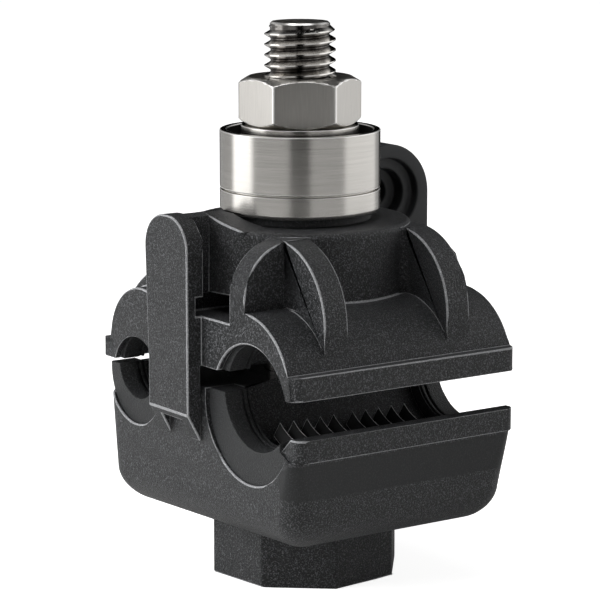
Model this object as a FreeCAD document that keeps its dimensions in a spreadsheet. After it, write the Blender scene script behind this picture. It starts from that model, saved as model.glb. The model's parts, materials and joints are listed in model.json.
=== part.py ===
import FreeCAD, Part
import os
import re

import Sketcher

from FreeCAD import Placement, Rotation, Vector

# Insulation piercing connector for overhead cable, with one M12 bolt.
# The frame's origin is on the bolt's axis, level with the underside of the foot. +Z runs up the
# bolt, the cables run along Y, the main cable lies on the +X side and the tap cable on -X.
# Millimetres. The jaws are modelled open, as far apart as they are before a cable is clamped.

doc = FreeCAD.newDocument("Connector")
sheet = doc.addObject("Spreadsheet::Sheet", "Sizes")

SIZES = [
    # jaws as a whole
    ("half_length", 22.5, "from the bolt to each end face of the jaws, along the cables"),
    ("slide_gap", 0.3, "between parts of the two jaws that pass each other"),
    # cable seats
    ("main_x", 18.5, "main cable's axis"),
    ("main_z", 35.5, "main cable's axis"),
    ("main_seat", 8.6, "radius of the main cable's seat in the seals"),
    ("main_cavity", 10.6, "radius of the main channel between its seals"),
    ("tap_x", -17.0, "tap cable's axis"),
    ("tap_z", 34.5, "tap cable's axis"),
    ("tap_seat", 5.35, "radius of the tap cable's seat in the seals"),
    ("tap_cavity", 6.6, "radius of the tap channel between its seals"),
    # bolt and nut
    ("bolt_radius", 6.0, "outside of the M12 thread"),
    ("bolt_tip", 93.6, "level of the bolt's end"),
    ("bolt_chamfer", 1.0, "at the bolt's end"),
    ("head_level", 3.0, "underside of the bolt's head, above the foot"),
    ("head_height", 7.5, "bolt's head"),
    ("hex_flats", 18.0, "across the flats of the bolt's head and of the nut"),
    ("thread_play", 0.05, "between the nut's bore and the bolt, on the radius"),
    ("shank_play", 0.1, "between a rubber grommet and the bolt, on the radius"),
    ("nut_height", 8.1, "nut"),
    ("nut_face", 8.64, "radius of the nut's flat end faces"),
    ("nut_bevel", 30, "degrees, slope of the bevel round each end of the nut"),
    ("washer_radius", 9.9, "flat washer under the nut"),
    ("washer_height", 1.6, "flat washer under the nut"),
    ("washer_bore", 6.5, "bore of the washer, springs, cup and disc"),
    # pressure cup and disc
    ("cup_radius", 13.5, "outside of the cup and of the disc below it"),
    ("cup_wall", 1.2, "cup's wall"),
    ("cup_floor", 1.6, "cup's floor"),
    ("cup_height", 9.7, "cup"),
    ("groove", 0.3, "height of the groove between cup and disc"),
    ("groove_depth", 0.7, "depth of that groove"),
    ("disc_height", 3.85, "disc"),
    ("disc_round", 0.9, "round under the disc's rim"),
    ("spring_radius", 11.6, "disc springs in the cup"),
    ("spring_sheet", 1.5, "thickness of a disc spring"),
    ("spring_rise", 0.9, "height of a disc spring's cone"),
    ("collar_radius", 12.0, "rubber collar under the disc"),
    ("collar_height", 1.25, "rubber collar under the disc"),
    # lower jaw
    ("foot_corners", 32.9, "across the corners of the eight-sided foot"),
    ("foot_y", 1.1, "middle of the foot, along the cables"),
    ("foot_turn", 28.4, "degrees, from the X axis to a corner of the foot"),
    ("tub_bottom", 11.4, "underside of the lower jaw, on the main side"),
    ("tub_fall", 1.6, "how much lower the underside is on the tap side"),
    ("tub_top", 29.0, "top of the lower jaw's sloping sides"),
    ("tub_lean", 1.6, "how far the main side slopes in at the underside"),
    ("tub_tap_top", 26.9, "tap side, at the top of the slope"),
    ("tub_tap_bottom", 26.0, "tap side, at the underside"),
    ("tub_end_inset", 0.8, "how far each end face slopes in at the underside"),
    ("foot_edge", 0.8, "round of the foot's upright edges"),
    ("tub_corner", 3.6, "round of the lower jaw's upright corners on the tap side"),
    ("main_corner", 5.0, "round of the main side's upright corners, at the underside"),
    ("main_shoulder", 1.8, "round of those corners, at the top of the slope"),
    ("tub_keel", 6.0, "round between the sides and the underside"),
    ("lip_back", 0.2, "from the upper flange's outer face back to the lower jaw's"),
    ("lip_bottom", 26.7, "underside of the lower lip"),
    ("lip_top", 30.4, "top of the lower lip"),
    ("lip_short", 1.0, "from the front end face back to the lower lip's end"),
    ("lip_start", 6.9, "from the main cable's axis to the lip's inner end"),
    ("lip_slope", 27.9, "level of the lip's inner end"),
    ("shoulder", 34.9, "top of the lower jaw between the channels"),
    ("tap_lip", 34.1, "top of the lower jaw outside the tap channel"),
    ("tap_wall", 24.3, "outer face of the tap channel's wall"),
    # seals
    ("seal_face", 21.75, "outer face of a lower seal, from the bolt along the cables"),
    ("seal_inner", 17.0, "inner face of every seal, from the bolt along the cables"),
    ("upper_seal_face", 21.3, "outer face of an upper seal"),
    ("main_ring_x", 17.25, "centre of the lower main seal's round back"),
    ("main_ring_z", 33.2, "centre of the lower main seal's round back"),
    ("main_wall", 0.9, "between that round back and the jaw's outer face"),
    ("tap_ring_x", -17.2, "centre of the tap seals' round back"),
    ("tap_ring_z", 33.4, "centre of the tap seals' round back"),
    ("tap_ring", 8.75, "radius of that round back"),
    ("mouth_lower_x", 18.95, "lower main mouth at its face"),
    ("mouth_lower_z", 36.1, "lower main mouth at its face"),
    ("mouth_lower", 9.4, "radius of the lower main mouth at its face"),
    ("mouth_tap_x", -17.3, "lower tap mouth at its face"),
    ("mouth_tap_z", 34.95, "lower tap mouth at its face"),
    ("mouth_tap", 6.0, "radius of the lower tap mouth at its face"),
    ("mouth_depth", 2.6, "how deep a mouth narrows"),
    ("rib_groove", 0.45, "depth of the grooves between a seal's gripping ribs"),
    ("rib_gap", 0.5, "width of those grooves"),
    # upper jaw
    ("jaw_under", 38.4, "underside of the upper jaw between the channels"),
    ("ledge", 46.7, "top of the upper jaw's end blocks"),
    ("main_arch_x", 16.7, "centre of the arch over the main channel"),
    ("main_arch_z", 36.3, "centre of the arch over the main channel"),
    ("main_arch", 12.8, "radius of that arch"),
    ("main_pocket_x", 17.6, "centre of the upper main seal's round back"),
    ("main_pocket_z", 35.6, "centre of the upper main seal's round back"),
    ("main_pocket", 11.0, "radius of the upper main seal's round back"),
    ("flange_under", 36.8, "underside of the upper flange on the main side"),
    ("flange_over", 40.75, "top of the upper flange on the main side"),
    ("flange_outer", 30.6, "outer face of the upper flange on the main side"),
    ("flange_corner", 1.85, "round of the flange's and the lip's upright corners"),
    ("tap_arch_x", -14.95, "centre of the arch over the tap channel"),
    ("tap_arch_z", 38.6, "centre of the arch over the tap channel"),
    ("tap_arch", 9.95, "radius of that arch"),
    ("tap_under", 35.0, "underside of the upper flange on the tap side"),
    ("tap_over", 38.5, "top of the upper flange on the tap side"),
    ("tap_flange", 26.8, "outer face of the upper flange on the tap side"),
    ("mouth_upper_x", 18.0, "upper main mouth"),
    ("mouth_upper_z", 33.45, "upper main mouth"),
    ("mouth_upper", 10.65, "radius of the upper main mouth"),
    ("mouth_over_x", -16.65, "upper tap mouth"),
    ("mouth_over_z", 32.7, "upper tap mouth"),
    ("mouth_over", 7.2, "radius of the upper tap mouth"),
    ("boss_radius", 18.7, "round boss under the collar"),
    ("boss_top", 60.6, "top of the boss"),
    ("boss_round", 1.0, "round of the boss's rim"),
    ("buttress_drop", 0.5, "from the boss's top down to the buttresses"),
    ("side_near", 10.0, "inner face of the main side's buttresses, along the cables"),
    ("side_thick", 4.6, "thickness of the main side's buttresses"),
    ("side_reach", 27.7, "outer face of the main side's buttresses"),
    ("side_bend", 13.1, "radius of their backs"),
    ("end_near", 12.15, "inner face of the end buttresses, across the cables"),
    ("end_thick", 4.4, "thickness of the end buttresses"),
    ("end_bend", 9.3, "radius of the front one's back"),
    ("rear_bend", 12.5, "radius of the rear one's back"),
    ("tap_rib_near", 15.4, "inner face of the tap side's buttress, along the cables"),
    ("tap_rib_thick", 4.4, "thickness of the tap side's buttress"),
    ("tap_rib_x", -7.0, "centre of the tap side's buttress's back"),
    ("tap_rib_z", 33.0, "centre of the tap side's buttress's back"),
    ("tap_rib_bend", 20.3, "radius of its back"),
    ("slot_near", -0.5, "inner end of the slot under the boss"),
    ("slot_height", 3.1, "height of the slot under the boss"),
    ("slot_depth", 13.0, "back of the slot, from the bolt"),
    ("bore_play", 0.6, "between the upper jaw's bore and the bolt, on the radius"),
    # guide legs
    ("leg_left", -8.1, "tap side of the guide legs, below"),
    ("leg_lean", 1.1, "how much further that side lies at the top"),
    ("leg_right", 3.95, "main side of the guide legs"),
    ("leg_proud", 2.8, "how far a guide leg stands out from the end face"),
    ("leg_rise", 2.3, "from the boss's top up to the front leg's"),
    ("rear_leg_drop", 4.6, "from the boss's top down to the rear leg's"),
    ("leg_round", 5.7, "round of the front leg's top"),
    ("leg_bottom", 30.2, "lower edge of a leg's outer face"),
    ("leg_toe", 25.6, "lower end of a leg's two toes"),
    ("leg_side", 3.0, "thickness of a leg's side walls"),
    ("leg_skin", 0.7, "thickness of a leg's outer wall"),
    ("leg_inset", 0.5, "how far a leg's head reaches in behind the end face"),
    ("leg_hollow", 36.0, "upper end of the hollow behind a leg"),
    ("key_bottom", 33.2, "lower end of the key that runs in a leg's hollow"),
    ("key_top", 34.5, "upper end of that key"),
    ("web_right", 0.5, "main side of the web between the front leg and the boss"),
    ("web_rise", 2.0, "from the boss's top up to that web's"),
    ("web_end", 14.0, "inner end of that web, from the bolt"),
    ("ramp_run", 7.7, "length of the slope from that web down to the boss's top"),
    # contacts
    ("tooth_step", 2.7, "from tooth to tooth along the cable"),
    ("main_tip", 8.65, "from the main cable's axis to the teeth's edges"),
    ("main_valley", 10.3, "from the main cable's axis to the bottom between teeth"),
    ("main_root", 12.0, "from the main cable's axis to the contact's back"),
    ("main_comb", 5.2, "main comb, from the cable's axis to its outer side"),
    ("main_comb_inner", 6.0, "main comb, from the cable's axis to its side by the bolt"),
    ("tap_tip", 5.4, "from the tap cable's axis to the teeth's edges"),
    ("tap_valley", 6.45, "from the tap cable's axis to the bottom between teeth"),
    ("tap_root", 10.4, "from the tap cable's axis to the contact's back"),
    ("tap_comb", 3.0, "half width of a tap comb"),
    ("comb_start", 0.6, "inner end of a comb, from the bolt along the cables"),
    ("bar_thick", 3.7, "bar between two combs, along the cables"),
    ("bar_height", 2.4, "height of that bar"),
    ("bar_bite", 0.6, "how far that bar reaches in under the main comb"),
    ("lower_bar", 23.8, "underside of the lower bar"),
    ("upper_bar", 43.6, "underside of the upper bar"),
    # rubber grommets round the bolt
    ("grommet_radius", 9.0, "outside of a grommet"),
    ("grommet_height", 4.0, "height of a grommet"),
    # end cap
    ("cap_face", -10.0, "mouth of the end cap"),
    ("cap_length", 12.5, "length of the end cap"),
    ("cap_y", 26.0, "end cap's axis"),
    ("cap_radius", 8.95, "outside of the end cap"),
    ("cap_lift", 3.1, "from the end blocks' top up to the end cap's foot"),
    ("cap_axis", 11.2, "from the end cap's foot up to its axis"),
    ("cap_bore", 6.45, "first step of the end cap's bore"),
    ("cap_bore_depth", 1.65, "depth of the first step"),
    ("cap_step", 4.45, "radius of the second step"),
    ("cap_step_depth", 4.2, "depth of the second step"),
    ("cap_blind", 2.5, "radius of the third step"),
    ("cap_blind_depth", 9.0, "depth of the third step"),
    ("stud_radius", 2.0, "stud that holds the end cap on its seat"),
    ("stud_length", 3.0, "that stud"),
    ("stud_x", -15.0, "that stud"),
    ("stud_y", 19.6, "that stud"),
    ("seat_half", 4.2, "half width of the end cap's seat"),
    ("seat_inner", 16.2, "inner end of the end cap's seat"),
]

for row, (alias, value, meaning) in enumerate(SIZES, start=1):
    sheet.set("A%d" % row, meaning)
    sheet.set("B%d" % row, str(value))
    sheet.setAlias("B%d" % row, alias)
doc.recompute()
ALIASES = {alias for alias, value, meaning in SIZES}

# How far a shape reaches past what it cuts, and into what it is joined to. Neither shows.
OVERLAPS = {"past": "1", "sunk": "3"}


def bound(text):
    """Turn the names of sizes in a formula into references to the sheet."""
    def refer(match):
        word = match.group(0)
        return "Sizes." + word if word in ALIASES else OVERLAPS.get(word, word)
    return re.sub(r"[a-z_]+", refer, text)


def tie(thing, prop, formula):
    thing.setExpression(prop, bound(formula))


def box(name, west, east, front, back, low, high):
    """A block between two values along each axis, each a formula."""
    block = doc.addObject("Part::Box", name)
    tie(block, "Length", "(%s) - (%s)" % (east, west))
    tie(block, "Width", "(%s) - (%s)" % (back, front))
    tie(block, "Height", "(%s) - (%s)" % (high, low))
    tie(block, "Placement.Base.x", west)
    tie(block, "Placement.Base.y", front)
    tie(block, "Placement.Base.z", low)
    return block


def round_bar(name, along, radius, start, end, first, second):
    """A cylinder along X, Y or Z. first and second place its axis on the other two."""
    bar = doc.addObject("Part::Cylinder", name)
    tie(bar, "Radius", radius)
    tie(bar, "Height", "(%s) - (%s)" % (end, start))
    if along == "x":
        bar.Placement = Placement(Vector(), Rotation(Vector(0, 1, 0), 90))
        base = (start, first, second)
    elif along == "y":
        bar.Placement = Placement(Vector(), Rotation(Vector(1, 0, 0), -90))
        base = (first, start, second)
    else:
        base = (first, second, start)
    for letter, formula in zip("xyz", base):
        tie(bar, "Placement.Base." + letter, formula)
    return bar


def worth(formula):
    """What a formula comes to in the sheet's sizes."""
    return float(sheet.evalExpression(bound(formula)))


def outline(name, plane, points, level):
    """A closed straight-sided sketch. Every corner is tied to a pair of formulas."""
    sketch = doc.addObject("Sketcher::SketchObject", name)
    turn = {"xz": Rotation(Vector(1, 0, 0), 90), "yz": Rotation(Vector(1, 1, 1), 120),
            "xy": Rotation()}[plane]
    sketch.Placement = Placement(Vector(), turn)
    corners = []
    for across, up in points:
        corners.append(Vector(worth(across), worth(up), 0))
    count = len(corners)
    for i in range(count):
        sketch.addGeometry(Part.LineSegment(corners[i], corners[(i + 1) % count]), False)
    for i in range(count):
        sketch.addConstraint(Sketcher.Constraint("Coincident", i, 2, (i + 1) % count, 1))
    for i, (across, up) in enumerate(points):
        for kind, formula in (("DistanceX", across), ("DistanceY", up)):
            number = sketch.addConstraint(
                Sketcher.Constraint(kind, -1, 1, i, 1, worth(formula)))
            sketch.setExpression("Constraints[%d]" % number, bound(formula))
    letter = {"xz": "y", "yz": "x", "xy": "z"}[plane]
    tie(sketch, "Placement.Base." + letter, level)
    return sketch


def extruded(name, plane, points, start, end):
    """A straight-sided bar along the plane's normal, from start to end."""
    sketch = outline(name + "_profile", plane, points, start)
    bar = doc.addObject("Part::Extrusion", name)
    bar.Base = sketch
    bar.DirMode = "Custom"
    bar.Dir = {"xz": Vector(0, 1, 0), "yz": Vector(1, 0, 0), "xy": Vector(0, 0, 1)}[plane]
    bar.Solid = True
    tie(bar, "LengthFwd", "(%s) - (%s)" % (end, start))
    return bar


def turned(name, plane, points, level, axis, base):
    """A ring turned from a straight-sided sketch about an axis through base."""
    sketch = outline(name + "_profile", plane, points, level)
    ring = doc.addObject("Part::Revolution", name)
    ring.Source = sketch
    ring.Axis = axis
    ring.Angle = 360
    ring.Solid = True
    for letter, formula in zip("xyz", base):
        tie(ring, "Base." + letter, formula)
    return ring


def joined(name, pieces):
    whole = doc.addObject("Part::MultiFuse", name)
    whole.Shapes = pieces
    whole.Refine = True
    return whole


def shared(name, first, second):
    """What two solids have in common."""
    common = doc.addObject("Part::Common", name)
    common.Base = first
    common.Tool = second
    return common


def without(name, base, tools):
    """A solid less one or more others."""
    cut = doc.addObject("Part::Cut", name)
    cut.Base = base
    cut.Tool = tools[0] if len(tools) == 1 else joined(name + "_tools", tools)
    cut.Refine = True
    return cut


def rounded(name, base, *choices):
    """A solid with some edges rounded. Each choice is a radius and a test of an edge.

    A radius is one formula, or a pair for an upright edge, at its lower and its upper end.
    """
    doc.recompute()
    edges = []
    for number, edge in enumerate(base.Shape.Edges, start=1):
        for radius, wanted in choices:
            if wanted(edge):
                ends = radius if isinstance(radius, tuple) else (radius, radius)
                if edge.valueAt(edge.FirstParameter).z > edge.valueAt(edge.LastParameter).z:
                    ends = (ends[1], ends[0])
                edges.append((number, worth(ends[0]), worth(ends[1])))
    fillet = doc.addObject("Part::Fillet", name)
    fillet.Base = base
    fillet.Edges = edges
    return fillet


def upright(edge):
    """True for a straight edge that climbs, whether or not it leans."""
    if len(edge.Vertexes) < 2:
        return False
    rise = edge.Vertexes[1].Point - edge.Vertexes[0].Point
    return abs(rise.z) > 0.9 * rise.Length


def at_level(formula):
    """A test for edges that lie at one level."""
    level = worth(formula)

    def test(edge):
        room = edge.BoundBox
        return abs(room.ZMin - level) < 0.01 and abs(room.ZMax - level) < 0.01
    return test


def under(formula):
    """A test for edges that lie wholly below one level."""
    level = worth(formula)

    def test(edge):
        return not upright(edge) and edge.BoundBox.ZMax < level - 0.01
    return test


def outermost(formula):
    """A test for upright edges on the main side's outer face."""
    face = worth(formula)

    def test(edge):
        return upright(edge) and abs(edge.BoundBox.XMin - face) < 0.01
    return test


def crosswise(formula):
    """A test for edges that lie at one level and run along the cables."""
    level = at_level(formula)

    def test(edge):
        return level(edge) and edge.BoundBox.XLength < 0.01
    return test


PARTS = []


def keep(thing, label):
    """Hand a finished sub-part in under its name."""
    thing.Label = label
    PARTS.append(thing)
    return thing


ENDS = (("front", -1), ("rear", 1))
CAP_FOOT = "ledge + cap_lift"
CAP_AXIS = CAP_FOOT + " + cap_axis"


def sided(side, formula):
    """A place along the cables, on one side of the bolt."""
    return formula if side > 0 else "-(%s)" % formula


def span(side, inner, outer):
    """The two ends of a stretch along the cables, on one side of the bolt."""
    if side < 0:
        return "-(%s)" % outer, "-(%s)" % inner
    return inner, outer


# contacts

TEETH = 5


def comb(name, side, axis, tip, valley, root, west, east, upwards):
    """A row of teeth round a cable's axis, one ring of V ridges cut down to a sector."""
    start = "comb_start"
    points = [(axis[0] + " - " + root, sided(side, start))]
    points.append((axis[0] + " - " + valley, sided(side, start)))
    for i in range(TEETH):
        crest = "%s + %s * tooth_step" % (start, i + 0.5)
        foot = "%s + %s * tooth_step" % (start, i + 1)
        points.append((axis[0] + " - " + tip, sided(side, crest)))
        points.append((axis[0] + " - " + valley, sided(side, foot)))
    points.append((axis[0] + " - " + root, sided(side, "%s + %s * tooth_step" % (start, TEETH))))
    ring = turned(name + "_ring", "xy", points, axis[1], Vector(0, 1, 0), (axis[0], "0", axis[1]))
    low, high = (axis[1], axis[1] + " + " + root) if upwards else (axis[1] + " - " + root, axis[1])
    first, last = span(side, "0", "half_length")
    window = box(name + "_window", axis[0] + " - " + west, axis[0] + " + " + east,
                 first, last, low, high)
    return shared(name, ring, window)


def contact(name, side, upwards):
    """A toothed contact that joins the two cables past the bolt, in one piece."""
    main = comb(name + "_main", side, ("main_x", "main_z"), "main_tip", "main_valley",
                "main_root", "main_comb_inner", "main_comb", upwards)
    tap = comb(name + "_tap", side, ("tap_x", "tap_z"), "tap_tip", "tap_valley",
               "tap_root", "tap_comb", "tap_comb", upwards)
    low = "upper_bar" if upwards else "lower_bar"
    outer = "comb_start + %s * tooth_step" % TEETH
    first, last = span(side, outer + " - bar_thick", outer)
    bar = box(name + "_bar", "tap_x - tap_comb", "main_x - main_comb_inner + bar_bite",
              first, last, low, low + " + bar_height")
    return keep(joined(name, [main, tap, bar]), name)


CONTACTS = {}
for end, side in ENDS:
    CONTACTS["lower", end] = contact("contact_lower_" + end, side, False)
    CONTACTS["upper", end] = contact("contact_upper_" + end, side, True)


# lower jaw

def sided_bar(name, sides, corner, low, high):
    """A bar with equal sides on the bolt's axis, with a corner on the X axis."""
    bar = doc.addObject("Part::Prism", name)
    bar.Polygon = sides
    tie(bar, "Circumradius", corner)
    tie(bar, "Height", "(%s) - (%s)" % (high, low))
    tie(bar, "Placement.Base.z", low)
    return bar


LIP_OUTER = "flange_outer - lip_back"
LIP_INNER = "main_x + lip_start"
LIP_MIDDLE = "(%s + %s) / 2" % (LIP_INNER, LIP_OUTER)
LIP = [(LIP_INNER, "lip_slope"), (LIP_MIDDLE, "lip_top"), (LIP_OUTER, "lip_top"),
       (LIP_OUTER, "lip_bottom"), (LIP_MIDDLE, "lip_bottom")]
LIP_CORNER = "min(flange_corner; 0.37 * (%s - (%s)))" % (LIP_OUTER, LIP_INNER)
MAIN_RING = LIP_OUTER + " - main_wall - main_ring_x"


def tub():
    """The lower jaw's outside: four sloping sides, rounded corners and a rounded keel."""
    across = [("-tub_tap_bottom", "tub_bottom - tub_fall"), (LIP_OUTER + " - tub_lean", "tub_bottom"),
              (LIP_OUTER, "tub_top"), ("-tub_tap_top", "tub_top")]
    along = [("tub_end_inset - half_length", "tub_bottom - tub_fall"),
             ("half_length - tub_end_inset", "tub_bottom - tub_fall"),
             ("half_length", "tub_top"), ("-half_length", "tub_top")]
    block = shared("tub_block",
                   extruded("tub_across", "xz", across, "-half_length", "half_length"),
                   extruded("tub_along", "yz", along, "-tub_tap_top", LIP_OUTER))
    return rounded(
        "tub", block,
        ("tub_corner", lambda edge: upright(edge) and edge.BoundBox.XMax < 0),
        (("main_corner", "main_shoulder"), lambda edge: upright(edge) and edge.BoundBox.XMin > 0),
        ("tub_keel", under("tub_top")))




def lower_jaw():
    foot = sided_bar("foot_bar", 8, "foot_corners / 2", "0", "tub_bottom + tub_keel")
    foot.Placement = Placement(Vector(), Rotation(Vector(0, 0, 1), 1))
    tie(foot, "Placement.Rotation.Angle", "foot_turn")
    tie(foot, "Placement.Base.y", "foot_y")
    foot = rounded("foot", foot, ("foot_edge", upright))
    lip = extruded("lower_lip", "xz", LIP, "lip_short - half_length", "half_length")
    lip = rounded("lower_lip_round", lip, (LIP_CORNER, outermost(LIP_OUTER)))
    middle = box("lower_middle", "tap_x", "main_x", "-half_length", "half_length",
                 "tub_top", "shoulder")
    side = box("lower_main_side", "main_x", LIP_MIDDLE, "-seal_inner", "seal_inner",
               "tub_top - sunk", "lip_top")
    wall = box("lower_tap_side", "-tap_wall", "tap_x", "-seal_inner", "seal_inner",
               "tub_top - sunk", "tap_lip")
    holes = [
        round_bar("lower_bore", "z", "bolt_radius", "head_level + head_height - past", "bolt_tip",
                  "0", "0"),
        sided_bar("head_pocket", 6, "hex_flats / sqrt(3)", "head_level",
                  "head_level + head_height"),
        round_bar("lower_grommet_seat", "z", "grommet_radius", "shoulder - grommet_height",
                  "shoulder + past", "0", "0"),
        round_bar("lower_main_cavity", "y", "main_cavity", "-seal_inner", "seal_inner",
                  "main_x", "main_z"),
        round_bar("lower_tap_cavity", "y", "tap_cavity", "-seal_inner", "seal_inner",
                  "tap_x", "tap_z"),
        box("lip_end_room", "main_x", LIP_OUTER + " + past", "-half_length - past",
            "lip_short + flange_corner - half_length", "lip_bottom", "tub_top + past"),
    ]
    keys = []
    for end, direction in ENDS:
        first, last = span(direction, "seal_inner", "half_length + past")
        holes.append(round_bar("lower_main_pocket_" + end, "y", MAIN_RING, first, last,
                               "main_ring_x", "main_ring_z"))
        holes.append(round_bar("lower_tap_pocket_" + end, "y", "tap_ring", first, last,
                               "tap_ring_x", "tap_ring_z"))
        holes.append(CONTACTS["lower", end])
        first, last = span(direction, "half_length - sunk",
                           "half_length + leg_proud - leg_skin - slide_gap")
        keys.append(box("key_" + end, "leg_left + leg_side + slide_gap",
                        "leg_right - leg_side - slide_gap", first, last, "key_bottom", "key_top"))
    shell = joined("lower_shell", [tub(), foot, middle, side, wall])
    hollowed = without("lower_hollowed", shell, holes)
    trimmed_lip = without("lower_lip_trimmed", lip, [
        round_bar("lip_cavity", "y", "main_cavity", "-seal_inner", "seal_inner",
                  "main_x", "main_z")])
    return keep(joined("lower_body", [hollowed, trimmed_lip] + keys), "lower_body")


lower_jaw()


# seals

def grip(name, side, radius, axis, face):
    """Two fine grooves round a seat, which leave the seal's gripping ribs."""
    rings = []
    for i in range(2):
        start = "%s - mouth_depth - %s * rib_gap" % (face, 2 * i + 1)
        first, last = span(side, start + " - rib_gap", start)
        rings.append(round_bar("%s_groove_%d" % (name, i + 1), "y", radius + " + rib_groove",
                               first, last, axis[0], axis[1]))
    return rings


def mouth(name, side, face, outer, seat):
    """A bell mouth, from the wide circle at a face down to the seat's own circle."""
    loft = doc.addObject("Part::Loft", name)
    circles = []
    for which, (circle, depth) in enumerate(((outer, "0"), (seat, "mouth_depth"))):
        ring = doc.addObject("Part::Circle", "%s_circle_%d" % (name, which + 1))
        ring.Placement = Placement(Vector(), Rotation(Vector(1, 0, 0), 90))
        tie(ring, "Radius", circle[2])
        tie(ring, "Placement.Base.x", circle[0])
        tie(ring, "Placement.Base.y", sided(side, "%s - %s" % (face, depth)))
        tie(ring, "Placement.Base.z", circle[1])
        circles.append(ring)
    loft.Sections = circles
    loft.Solid = True
    loft.Ruled = True
    return loft


def seal(name, side, face, back, seat, outer, low, high, extra):
    """A seal: a round-backed block with a cable's seat, a bell mouth and gripping ribs."""
    first, last = span(side, "seal_inner", face)
    disc = round_bar(name + "_disc", "y", back[2], first, last, back[0], back[1])
    window = box(name + "_window", "%s - (%s)" % (back[0], back[2]), "%s + (%s)" % (back[0], back[2]),
                 first, last, low, high)
    block = shared(name + "_block", disc, window)
    wide_first, wide_last = span(side, "seal_inner - past", face + " + past")
    tools = [round_bar(name + "_seat", "y", seat[2], wide_first, wide_last, seat[0], seat[1])]
    tools += grip(name, side, seat[2], seat, face)
    if outer is not None:
        tools.append(mouth(name + "_mouth", side, face, outer, seat))
    return keep(without(name, block, tools + extra), name)


MAIN_SEAT = ("main_x", "main_z", "main_seat")
TAP_SEAT = ("tap_x", "tap_z", "tap_seat")


def seals():
    for end, side in ENDS:
        first, last = span(side, "seal_inner - past", "seal_face + past")
        lip = extruded("seal_lip_" + end, "xz", LIP, first, last)
        over_lip = box("seal_over_lip_" + end, LIP_INNER, LIP_OUTER, first, last,
                       "lip_slope", "shoulder + past")
        seal("main_seal_lower_" + end, side, "seal_face",
             ("main_ring_x", "main_ring_z", MAIN_RING), MAIN_SEAT,
             ("mouth_lower_x", "mouth_lower_z", "mouth_lower"),
             "main_ring_z - (" + MAIN_RING + ")", "shoulder", [lip, over_lip])
        seal("tap_seal_lower_" + end, side, "seal_face",
             ("tap_ring_x", "tap_ring_z", "tap_ring"), TAP_SEAT,
             ("mouth_tap_x", "mouth_tap_z", "mouth_tap"),
             "tap_ring_z - tap_ring", "tap_lip", [])
        seal("main_seal_upper_" + end, side, "upper_seal_face",
             ("main_pocket_x", "main_pocket_z", "main_pocket"), MAIN_SEAT, None,
             "jaw_under", "main_pocket_z + main_pocket", [])
        seal("tap_seal_upper_" + end, side, "upper_seal_face",
             ("tap_ring_x", "tap_ring_z", "tap_ring"), TAP_SEAT, None,
             "tap_under", "tap_ring_z + tap_ring", [])


seals()


# upper jaw

def side_buttress(name, side):
    """A main side buttress: upright, with a round back that falls from the boss to the arch."""
    first, last = span(side, "side_near", "side_near + side_thick")
    top = "boss_top - buttress_drop"
    centre_x = "side_reach - side_bend"
    centre_z = top + " - side_bend"
    back = round_bar(name + "_back", "y", "side_bend", first, last, centre_x, centre_z)
    window = box(name + "_window", centre_x, "side_reach", first, last, centre_z, top)
    quarter = shared(name + "_quarter", back, window)
    foot = box(name + "_foot", centre_x, "side_reach", first, last, "flange_under", centre_z)
    root = box(name + "_root", "0", centre_x, first, last, "jaw_under", top)
    return [quarter, foot, root]


def end_buttress(name, side):
    """An end buttress: the same form turned to run along the cables."""
    top = "boss_top - buttress_drop"
    bend = "end_bend" if side < 0 else "rear_bend"
    centre_y = "half_length - " + bend
    centre_z = top + " - " + bend
    back = round_bar(name + "_back", "x", bend, "end_near", "end_near + end_thick",
                     sided(side, centre_y), centre_z)
    first, last = span(side, centre_y, "half_length")
    window = box(name + "_window", "end_near", "end_near + end_thick", first, last, centre_z, top)
    quarter = shared(name + "_quarter", back, window)
    foot = box(name + "_foot", "end_near", "end_near + end_thick", first, last,
               "jaw_under", centre_z)
    first, last = span(side, "0", centre_y)
    root = box(name + "_root", "end_near", "end_near + end_thick", first, last, "jaw_under", top)
    return [quarter, foot, root]


def tap_buttress(name, side):
    """The tap side's buttress, which falls in one long curve from the boss."""
    first, last = span(side, "tap_rib_near", "tap_rib_near + tap_rib_thick")
    back = round_bar(name + "_back", "y", "tap_rib_bend", first, last, "tap_rib_x", "tap_rib_z")
    window = box(name + "_window", "-tap_flange", "0", first, last,
                 "tap_over", "tap_rib_z + tap_rib_bend")
    return shared(name, back, window)


def leg_head(name, side, top):
    """A guide leg above the jaw's underside, with a rounded head."""
    first, last = span(side, "half_length - leg_inset", "half_length + leg_proud")
    shape = [("leg_left", "jaw_under"), ("leg_right", "jaw_under"), ("leg_right", top),
             ("leg_left - leg_lean", top)]
    plate = extruded(name + "_plate", "xz", shape, first, last)
    return rounded(name, plate, ("leg_round", crosswise(top)))


def front_web():
    """The web from the front leg to the boss, and the slope beside it down to the boss."""
    top = "boss_top + web_rise"
    shape = [("leg_left", "jaw_under"), ("web_right", "jaw_under"), ("web_right", top),
             ("leg_left - leg_lean", top)]
    web = extruded("front_web_plate", "xz", shape, "-half_length", "0")
    level = crosswise(top)
    web = rounded("front_web_round", web, (
        "leg_round", lambda edge: level(edge) and edge.BoundBox.XMax < 0))
    slope = [("web_right - past", "boss_top - past"), ("web_right + ramp_run", "boss_top - past"),
             ("web_right + ramp_run", "boss_top"), ("web_right", top), ("web_right - past", top)]
    ramp = shared("front_ramp",
                  extruded("front_ramp_bar", "xz", slope, "-boss_radius", "0"),
                  round_bar("front_ramp_limit", "z", "boss_radius", "jaw_under", top, "0", "0"))
    return without("front_web", joined("front_web_and_ramp", [web, ramp]), [
        round_bar("front_web_end", "z", "web_end", "boss_top", top + " + past", "0", "0")])


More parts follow.
